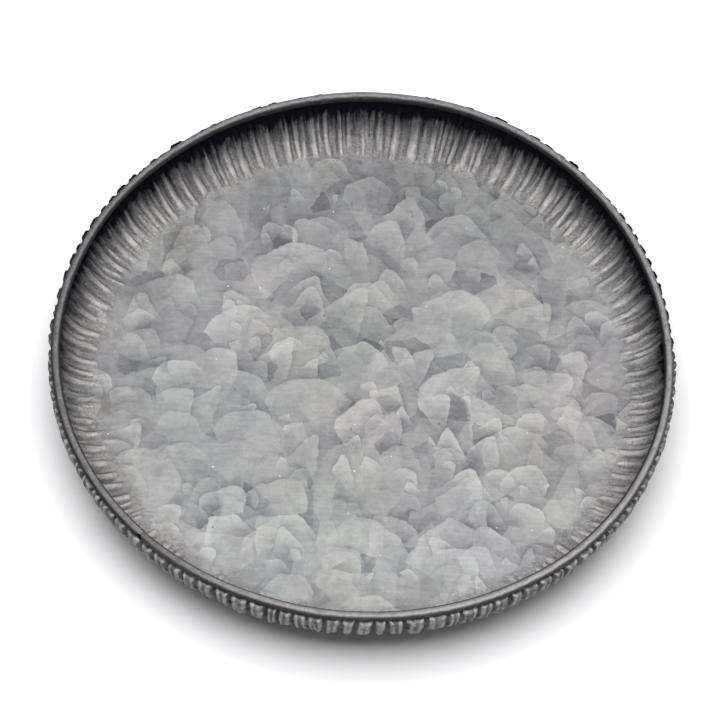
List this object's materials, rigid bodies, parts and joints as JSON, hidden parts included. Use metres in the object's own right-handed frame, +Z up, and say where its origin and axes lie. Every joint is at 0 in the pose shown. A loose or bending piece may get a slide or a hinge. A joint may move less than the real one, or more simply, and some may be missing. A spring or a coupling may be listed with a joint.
{
  "type": "round sheet metal pan",
  "caption": "Round galvanised steel pan with a flat floor, a fluted upright wall and a smooth wired rim, for catching drips or holding small items.",
  "frame": {"origin": "centre of the underside, on the pan's axis, where it rests on a surface", "axes": "+Z up along the pan's axis, out of its open top; the rim joint lies at 229 degrees from +X towards +Y"},
  "size_m": [0.3334, 0.3334, 0.036],
  "materials": {
    "galvanised_sheet": "hot dipped zinc with large spangles, aged to a dull grey",
    "rim_strip": "darkened zinc, rubbed lighter along the top",
    "rim_wire": "plain drawn wire, dull"
  },
  "bodies": {
    "root": {"pan_sheet": "galvanised_sheet", "rim_hoop": "rim_strip", "rim_wire": "rim_wire"}
  },
  "joints": []
}
